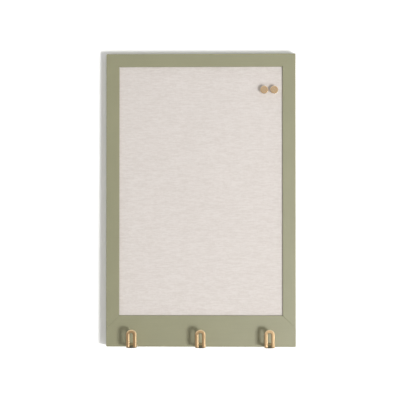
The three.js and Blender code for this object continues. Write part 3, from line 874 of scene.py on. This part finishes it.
def make_pins():
    """The two push pins, each a turned head on a ground needle."""
    brass, _, _ = satin_brass("satin_turned_brass", "ead2ae", "f0dab8", 0.24, 0.1)
    steel = needle_steel()
    for side in SIDES:
        low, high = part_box(f"pin_head_{side}")
        seat = Vector(((low.x + high.x) / 2, high.y, (low.z + high.z) / 2))
        profile = pin_profile((high.x - low.x) / 2, high.y - low.y)
        head = new_piece(
            f"pin_head_{side}_turned", smoothed(turned(f"pin_head_{side}", profile, seat, steps=64)),
            brass, "pin_brass", [f"pin_head_{side}"],
        )
        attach(head, f"pin_{side}")
        needle_low, needle_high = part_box(f"pin_needle_{side}")
        radius = (needle_high.x - needle_low.x) / 2
        tip = needle_high.y - NEEDLE_POINT
        shape = [(0, high.y), (radius, high.y), (radius, tip)]
        shape += [(radius * 0.5, tip + NEEDLE_SHOULDER), (0, needle_high.y)]
        point = Vector((seat.x, 0, seat.z))
        needle = new_piece(
            f"pin_needle_{side}_ground", smoothed(turned(f"needle_{side}", shape, point, steps=20)),
            steel, "needle_steel", [f"pin_needle_{side}"],
        )
        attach(needle, f"pin_{side}")


# Screws, hangers, points and bumpers


def pan_screw(name, node, pointed):
    """A pan-head screw about the origin that points forwards, with a cross recess in its head."""
    low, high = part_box(node)
    head = (high.x - low.x) / 2
    tall = HEAD_HEIGHTS[0] if head > TALL_HEAD else HEAD_HEIGHTS[1]
    seat = high.y - tall
    crown, rise = HEAD_CROWN * head, HEAD_ROUND * tall
    profile = [(0, low.y)]
    profile += [] if pointed else [(END_RADIUS * SHANK_RADIUS, low.y)]
    profile.append((SHANK_RADIUS, low.y + (POINT_TAPER if pointed else END_TAPER)))
    profile += [(SHANK_RADIUS, seat), (head, seat)]
    for k in range(HEAD_STEPS + 1):
        angle = quarter_turn * k / HEAD_STEPS
        across = crown + (head - crown) * math.cos(angle)
        profile.append((across, high.y - rise + rise * math.sin(angle)))
    profile.append((0, high.y))
    made = new_object(name, turned(name, profile, Vector((0, 0, 0)), SCREW_STEPS))
    for turn in (0, quarter_turn):
        bm = bmesh.new()
        bmesh.ops.create_cube(bm, size=1.0)
        for vert in bm.verts:
            deep = vert.co.y < 0
            reach = RECESS_REACH_SHARE * head * (RECESS_FLOOR if deep else 1.0)
            long, short = vert.co.x * 2 * reach, vert.co.z * RECESS_SLOT
            vert.co.y = high.y - RECESS_DEPTH if deep else high.y + CLEAR
            vert.co.x = long * math.cos(turn) - short * math.sin(turn)
            vert.co.z = long * math.sin(turn) + short * math.cos(turn)
        cut(made, new_object("recess", mesh_of("recess", bm)))
    mesh = made.data
    bpy.data.objects.remove(made)
    return mesh


def make_screws(zinc):
    """The hooks' screws and the hangers' screws, each kind as one piece."""
    for name, nodes, pointed in (
        ("hook_screws", [f"hook_screw_{side}" for side in HOOK_NAMES], False),
        ("hanger_screws", [f"hanger_screw_{side}" for side in SIDES], True),
    ):
        mesh = pan_screw(name, nodes[0], pointed)
        places = [Vector((centre(node).x, 0, centre(node).z)) for node in nodes]
        turns = [SCREW_TURN[0] + SCREW_TURN[1] * i for i in range(len(nodes))]
        made = copied(name, mesh, places, zinc, turns)
        smoothed(made.data)
        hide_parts(*nodes)
        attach(made, "board")


def make_rings(zinc):
    """Each ring is a round wire, bent to a loop whose ends meet inside the strap's eye."""
    for side in SIDES:
        low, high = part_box(f"hanger_ring_{side}")
        wire = (high.y - low.y) / 2
        half, height = (high.x - low.x) / 2 - wire, high.z - low.z - 2 * wire
        axis = Vector(((low.x + high.x) / 2, (low.y + high.y) / 2, low.z + wire))
        corner = RING_CORNER
        bend, loop = RING_STEPS
        line = [(RING_BUTT / 2, 0)]
        line += arc((half - corner, corner), corner, -quarter_turn, 0, bend)
        line += arc((0, height - half), half, 0, math.pi, loop)
        line += arc((corner - half, corner), corner, math.pi, math.pi + quarter_turn, bend)
        line.append((-RING_BUTT / 2, 0))
        rings = []
        for k, (x, z) in enumerate(line):
            before, after = line[max(k - 1, 0)], line[min(k + 1, len(line) - 1)]
            along = Vector((after[0] - before[0], 0, after[1] - before[1])).normalized()
            first, second = Vector((0, 1, 0)).cross(along), Vector((0, 1, 0))
            round_wire = arc((0, 0), wire, 0, full_turn, WIRE_STEPS)[:-1]
            rings.append([axis + Vector((x, 0, z)) + a * first + b * second for a, b in round_wire])
        mesh = smoothed(mesh_from(f"ring_{side}", *skin(rings)))
        made = new_piece(f"hanger_ring_{side}_wire", mesh, zinc, "zinc_steel", [f"hanger_ring_{side}"])
        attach(made, f"ring_{side}")


def make_straps(zinc):
    """Each strap is a strip with a round end, rolled into an eye round its ring."""
    ring_low, ring_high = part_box("hanger_ring_left")
    wire = (ring_high.y - ring_low.y) / 2
    middle, half = STRAP_THICKNESS / 2, STRAP_WIDTH / 2
    eye_y, eye_z = (ring_low.y + ring_high.y) / 2, ring_low.z + wire
    roll = eye_y - middle
    line = []
    for k in range(STRAP_STEPS + 1):
        angle = quarter_turn * k / STRAP_STEPS
        side = max(half * math.sin(angle), STRAP_TIP * half)
        line.append((middle, eye_z - STRAP_LENGTH + half - half * math.cos(angle), side))
    line += [(eye_y + y, eye_z + z, half) for z, y in arc((0, 0), roll, -quarter_turn, EYE_CURL, EYE_STEPS)]
    points, faces = [], []
    for y, z, side in line:
        points += [Vector((-side, y, z)), Vector((side, y, z))]
    for k in range(len(line) - 1):
        faces.append((2 * k, 2 * k + 1, 2 * k + 3, 2 * k + 2))
    made = new_object("strap", mesh_from("strap", points, faces, recalculate=False))
    plate = made.modifiers.new("plate", "SOLIDIFY")
    plate.thickness = STRAP_THICKNESS
    plate.offset = 0.0
    baked(made)
    screw = centre("hanger_screw_left")
    hole_radius = SHANK_RADIUS + POCKET_GAP
    ends = (-CLEAR, STRAP_THICKNESS + CLEAR)
    hole = [(0, ends[0]), (hole_radius, ends[0]), (hole_radius, ends[1]), (0, ends[1])]
    tool = turned("hole", hole, Vector((0, 0, screw.z)), steps=32)
    cut(made, new_object("hole", tool))
    nodes = [f"hanger_strap_{side}" for side in SIDES]
    straps = copied("hanger_straps", made.data, [Vector((centre(n).x, 0, 0)) for n in nodes], zinc)
    bpy.data.objects.remove(made)
    smoothed(straps.data)
    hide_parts(*nodes)
    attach(straps, "board")


def make_points(zinc):
    """The flat points that hold the backing: stamped plates, pointed at both ends."""
    order = ("top", "right", "bottom", "left")
    nodes = {side: [f"backing_point_{side}_{i}" for i in (1, 2)] for side in order}
    low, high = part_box("backing_point_top_1")
    mid = (low + high) / 2
    half, long = (high.x - low.x) / 2, (high.z - low.z) / 2
    shoulder = long * POINT_SHOULDER
    outline = [(0, long), (half, shoulder), (half, -shoulder)]
    outline += [(0, -long), (-half, -shoulder), (-half, shoulder)]
    rings = [[Vector((x, y - mid.y, z)) for x, z in outline] for y in (low.y, high.y)]
    bm = bmesh.new()
    bm.from_mesh(mesh_from("point", *skin(rings)))
    bmesh.ops.bevel(bm, geom=bm.edges[:], offset=POINT_EASE, segments=2, profile=0.5, affect="EDGES")
    mesh = mesh_of("point", bm)
    places, turns = [], []
    for quarter, side in enumerate(nodes):
        for node in nodes[side]:
            places.append(centre(node))
            turns.append(quarter * quarter_turn)
    made = copied("backing_points", mesh, places, zinc, turns)
    smoothed(made.data)
    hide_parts(*[node for group in nodes.values() for node in group])
    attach(made, "board")


def make_bumpers():
    """The two rubber bumpers: low domes on round seats."""
    nodes = [f"bumper_{side}" for side in SIDES]
    low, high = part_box(nodes[0])
    radius, height = (high.x - low.x) / 2, high.y - low.y
    side = BUMPER_SIDE * height
    seat, edge = BUMPER_SEAT
    profile = [(0, 0), (radius * seat, 0), (radius, edge * side)]
    for k in range(BUMPER_STEPS):
        angle = quarter_turn * k / BUMPER_STEPS
        profile.append((radius * math.cos(angle), side + (height - side) * math.sin(angle)))
    profile.append((0, height))
    mesh = turned("bumper", profile, Vector((0, 0, 0)))
    places = [Vector((centre(n).x, low.y, centre(n).z)) for n in nodes]
    made = copied("rubber_bumpers", mesh, places, moulded_rubber())
    smoothed(made.data)
    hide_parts(*nodes)
    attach(made, "board")


def dress(nodes, material):
    """Gives CAD nodes that stay a better material."""
    for node in nodes:
        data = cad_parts[node].data
        data.materials.clear()
        data.materials.append(material)


# Stage, light and camera

CAMERA_PLACE = (0.0537, -2.016, -0.2455)
CAMERA_TURN = 1.572  # degrees to the left
CAMERA_TILT = 1.021  # degrees up
LENS = 121.94  # for a 36 mm sensor
KEY_PLACE = (1.035, -2.0, -0.737)
KEY_SIZE = 0.43
KEY_POWER = 30.2
BACK_PLACE = (-0.55, 1.25, 0.3)
BACK_SIZE = 0.8
BACK_POWER = 9.0
FILL = 0.42  # strength of the room's even light
MIRRORED_LOW = "968066"  # what metal mirrors from below and from straight ahead
MIRRORED_HIGH = "ffffff"  # and from above and from the right
MIRRORED_STRENGTH = (1.1, 1.6)  # on the left and on the right
MIRRORED_UP = (-0.15, 0.6)  # the parts of a ray's length, upwards, over which low turns to high
MIRRORED_RIGHT = (0.5, 1.0)  # and likewise to the right
MIRRORED_LEFT = (-0.9, -0.3)  # and to the left, where low turns to high in part
LEFT_SHARE = 0.32  # how far it turns there
SHOWN = 0.75  # strength of the room that the camera sees
FLOOR = -0.9  # height of the floor
FLOOR_REACH = 4.0
FLOOR_SHOWN = 0.9  # the grey that the camera sees
WALL_REACH = 1.6
WALL_TOP = 1.0
WALL_SHOWN = 1.46
WALL_GAPS = (-0.5 * mm, 3.3 * mm)  # from the bumpers' back to the wall, at the board's top and bottom
HOLE_INSET = 6 * mm


def pale_surface(name, colour, shown, mirrored, one_sided=False):
    """A pale matt surface. The camera sees it as the grey shown, and metal as the colour mirrored, in
    place of its own colour. One that is one-sided can't be seen from behind."""
    made = bpy.data.materials.new(name)
    tree = empty_tree(made)
    path = add(tree, "ShaderNodeLightPath").outputs
    seen = tones(tree, path["Is Glossy Ray"], colour, mirrored)
    seen = mixed(tree, path["Is Camera Ray"], seen, (shown, shown, shown, 1))
    shade = add(tree, "ShaderNodeBsdfDiffuse", {"Color": seen}).outputs["BSDF"]
    if one_sided:
        behind = add(tree, "ShaderNodeNewGeometry").outputs["Backfacing"]
        clear = add(tree, "ShaderNodeBsdfTransparent").outputs["BSDF"]
        shade = add(tree, "ShaderNodeMixShader", {0: behind, 1: shade, 2: clear}).outputs["Shader"]
    add(tree, "ShaderNodeOutputMaterial", {"Surface": shade})
    return made


def make_stage():
    """A pale floor, and a pale wall that the board hangs on. The board's top lies nearer to the wall than
    its foot, so its shadow widens downwards. The wall is open behind the board and can't be seen from
    behind, so that the board's back is lit and in view."""
    at_top, at_bottom = WALL_GAPS

    def on_wall(x, z):
        down = (TOP - z) / (TOP - BOTTOM)
        return (x, WALL + at_top + (at_bottom - at_top) * down, z)

    def loop(wide, low, high):
        return [on_wall(-wide, low), on_wall(wide, low), on_wall(wide, high), on_wall(-wide, high)]

    outer = loop(WALL_REACH, FLOOR, WALL_TOP)
    inner = loop(HALF - HOLE_INSET, BOTTOM + HOLE_INSET, TOP - HOLE_INSET)
    faces = [(i, (i + 1) % 4, 4 + (i + 1) % 4, 4 + i) for i in range(4)]
    wall = new_piece(
        "wall", mesh_from("wall", outer + inner, faces, recalculate=False),
        pale_surface("matt_white_wall", "f4f4f4", WALL_SHOWN, "f4f4f4", one_sided=True),
    )
    reach = FLOOR_REACH
    corners = [(-reach, -reach, FLOOR), (reach, -reach, FLOOR)]
    corners += [(reach, reach, FLOOR), (-reach, reach, FLOOR)]
    floor = new_piece(
        "floor", mesh_from("floor", corners, [(0, 1, 2, 3)], recalculate=False),
        pale_surface("matt_pale_floor", "e4e3e1", FLOOR_SHOWN, "5f5040"),
    )


def lamp(name, place, size, power):
    """A square lamp that is aimed at the middle of the board."""
    data = bpy.data.lights.new(name, "AREA")
    data.shape = "SQUARE"
    data.size = size
    data.energy = power
    made = new_object(name, data)
    made.location = place
    aim = Vector((0, FRONT, (TOP + BOTTOM) / 2)) - Vector(place)
    made.rotation_euler = aim.to_track_quat("-Z", "Y").to_euler()


def make_light():
    """A key lamp in front, a weaker one that lights the back for views from there, and a plain room."""
    lamp("key", KEY_PLACE, KEY_SIZE, KEY_POWER)
    lamp("behind", BACK_PLACE, BACK_SIZE, BACK_POWER)
    world = bpy.data.worlds.new("room")
    scene.world = world
    tree = empty_tree(world)
    path = add(tree, "ShaderNodeLightPath").outputs
    way = add(tree, "ShaderNodeTexCoord").outputs["Generated"]
    sides = add(tree, "ShaderNodeSeparateXYZ", {"Vector": way}).outputs
    above = between(tree, sides["Z"], 0.0, 1.0, *MIRRORED_UP)
    right = between(tree, sides["X"], 0.0, 1.0, *MIRRORED_RIGHT)
    left = between(tree, sides["X"], LEFT_SHARE, 0.0, *MIRRORED_LEFT)
    rise = result(tree, "MAXIMUM", above, right)
    rise = result(tree, "MAXIMUM", rise, left)
    fill = add(tree, "ShaderNodeBackground", {"Color": linear("ffffff"), "Strength": FILL})
    strength = between(tree, sides["X"], *MIRRORED_STRENGTH, *MIRRORED_RIGHT)
    room = {"Color": tones(tree, rise, MIRRORED_LOW, MIRRORED_HIGH), "Strength": strength}
    mirrored = add(tree, "ShaderNodeBackground", room)
    shown = add(tree, "ShaderNodeBackground", {"Color": linear("ffffff"), "Strength": SHOWN})
    sky = fill
    rays = (("Is Glossy Ray", mirrored), ("Is Transmission Ray", shown), ("Is Camera Ray", shown))
    for ray, seen in rays:
        sky = add(tree, "ShaderNodeMixShader", {0: path[ray], 1: sky.outputs[0], 2: seen.outputs[0]})
    add(tree, "ShaderNodeOutputWorld", {"Surface": sky.outputs["Shader"]})


def make_camera():
    """The camera, which stands a little to the right of the board's middle and below it."""
    data = bpy.data.cameras.new("camera")
    data.lens = LENS
    camera = new_object("camera", data)
    camera.location = CAMERA_PLACE
    upright = math.radians(90 + CAMERA_TILT)
    camera.rotation_euler = Euler((upright, 0, math.radians(CAMERA_TURN)))
    scene.camera = camera


make_camera()
make_light()
make_stage()
make_frame()
make_linen()
make_hooks()
make_pins()
zinc_finish = zinc_plate()
make_screws(zinc_finish)
make_rings(zinc_finish)
make_straps(zinc_finish)
make_points(zinc_finish)
make_bumpers()
dress(["panel_core"], soft_fibreboard())
dress(["backing_board"], grey_chipboard())
dress([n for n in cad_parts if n.startswith(("corner_nail", "hook_washer"))], zinc_finish)

scene.view_settings.view_transform = "Standard"
